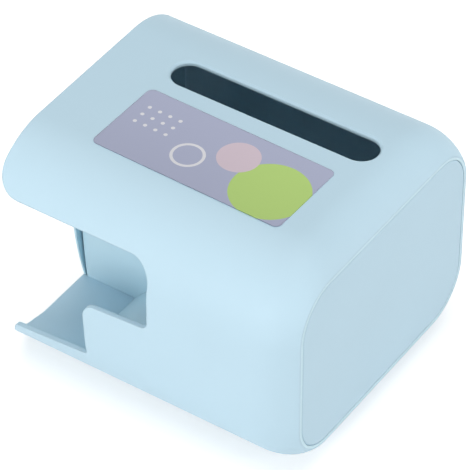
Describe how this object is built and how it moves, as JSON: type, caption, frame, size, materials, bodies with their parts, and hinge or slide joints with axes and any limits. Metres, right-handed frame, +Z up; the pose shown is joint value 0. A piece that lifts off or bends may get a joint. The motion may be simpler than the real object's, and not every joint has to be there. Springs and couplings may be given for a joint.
{
  "type": "tissue box organizer",
  "caption": "Rounded plastic tissue box with a roof slot, an open front bay for a phone or remote control, a plug-in end cap and a tissue drawer that slides out of the left end.",
  "frame": {"origin": "middle of the base, on the surface that the box stands on", "axes": "+X along the length towards the end cap, -Y towards the front with the open bay, +Z up"},
  "size_m": [0.2, 0.192, 0.1502],
  "materials": {
    "shell_plastic": "satin",
    "inner_plastic": "satin",
    "drawer_plastic": "satin",
    "label_film": "gloss"
  },
  "bodies": {
    "housing": {"sleeve": "shell_plastic", "end_cap": "shell_plastic", "bay_divider": "inner_plastic", "label": "label_film"},
    "drawer": {"drawer_tray": "drawer_plastic", "drawer_front": "drawer_plastic"}
  },
  "joints": [
    {"name": "drawer_slide", "type": "slide", "parent": "housing", "child": "drawer", "axis": [-1, 0, 0], "range_m": [0, 0.14]}
  ]
}
